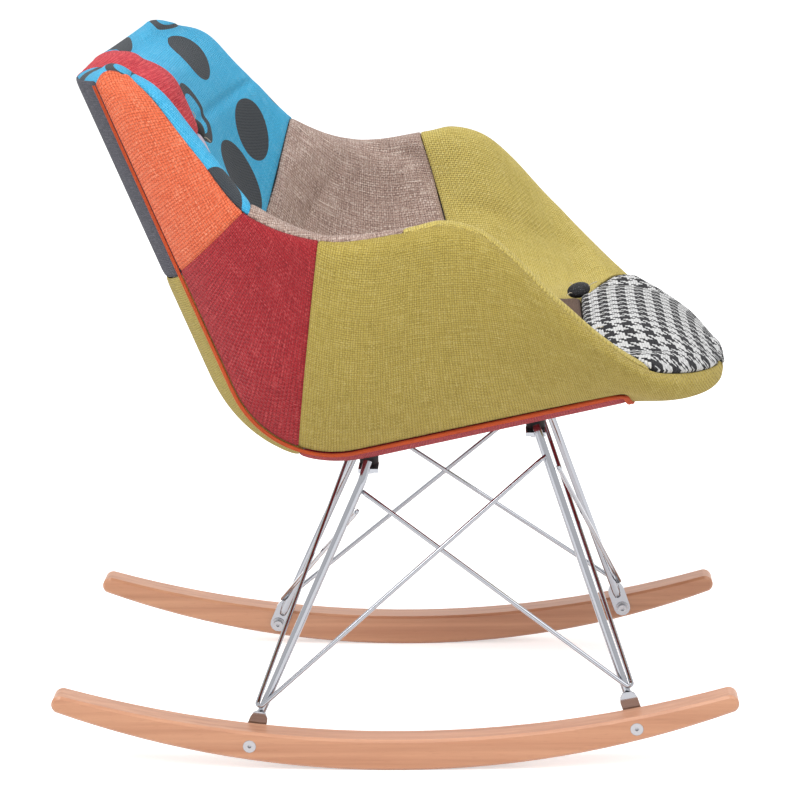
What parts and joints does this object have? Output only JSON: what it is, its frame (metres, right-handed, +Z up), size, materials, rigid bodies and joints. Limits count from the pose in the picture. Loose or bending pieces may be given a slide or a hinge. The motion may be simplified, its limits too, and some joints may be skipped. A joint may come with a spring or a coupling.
{
  "type": "rocking chair",
  "caption": "Low rocking armchair: a padded patchwork bucket seat on a braced chromed wire base with bent beech rockers.",
  "frame": {"origin": "on the floor, midway between the rockers and midway along them", "axes": "+X the way the sitter faces, +Y to the sitter's left, +Z up"},
  "size_m": [0.6812, 0.6064, 0.7003],
  "materials": {
    "beech": "satin lacquered beech",
    "chromed_rod": "bright chrome",
    "steel_hardware": "zinc plated steel",
    "brass_insert": "plain brass",
    "black_rubber": "matt black",
    "shell_plastic": "moulded, matt",
    "orange_weave": "coarse woven cloth",
    "red_twill": "twill cloth",
    "olive_linen": "linen cloth",
    "grey_denim": "dark denim",
    "orange_piping": "corded edging",
    "red_rib": "ribbed cloth",
    "lilac_weave": "pale dotted cloth",
    "brown_weave": "brown cloth",
    "houndstooth": "black and white houndstooth check",
    "blue_print": "blue canvas with dark dots and rings",
    "taupe_tweed": "tweed with pale slubs",
    "button_cloth": "dark cloth over a button"
  },
  "bodies": {
    "root": {"arm_pad_olive_left": "olive_linen", "arm_pad_olive_right": "olive_linen", "arm_pad_taupe_left": "taupe_tweed", "arm_pad_taupe_right": "taupe_tweed", "back_pad_lilac": "lilac_weave", "back_pad_red": "red_rib", "back_panel_grey": "grey_denim", "back_panel_olive": "olive_linen", "bottom_panel_red": "red_twill", "brace_front_left": "chromed_rod", "brace_front_right": "chromed_rod", "brace_rear_left": "chromed_rod", "brace_rear_right": "chromed_rod", "foot_tab_front_left": "chromed_rod", "foot_tab_front_right": "chromed_rod", "foot_tab_rear_left": "chromed_rod", "foot_tab_rear_right": "chromed_rod", "leg_front_left": "chromed_rod", "leg_front_right": "chromed_rod", "leg_rear_left": "chromed_rod", "leg_rear_right": "chromed_rod", "mount_plate_front_left": "chromed_rod", "mount_plate_front_right": "chromed_rod", "mount_plate_rear_left": "chromed_rod", "mount_plate_rear_right": "chromed_rod", "outer_cover_olive": "olive_linen", "outer_cover_orange_left": "orange_weave", "outer_cover_orange_right": "orange_weave", "outer_cover_red_left": "red_twill", "outer_cover_red_right": "red_twill", "piping_front": "orange_piping", "piping_left": "orange_piping", "piping_right": "orange_piping", "rocker_bolts": "steel_hardware", "rocker_left": "beech", "rocker_right": "beech", "rocker_washers": "steel_hardware", "rubber_spacers": "black_rubber", "seat_bolts": "steel_hardware", "seat_pad_brown": "brown_weave", "seat_pad_houndstooth": "houndstooth", "seat_shell": "shell_plastic", "seat_washers": "steel_hardware", "sleeve_nuts": "steel_hardware", "threaded_inserts": "brass_insert", "tuft_buttons": "button_cloth", "wing_pad_blue_left": "blue_print", "wing_pad_blue_right": "blue_print"}
  },
  "joints": []
}
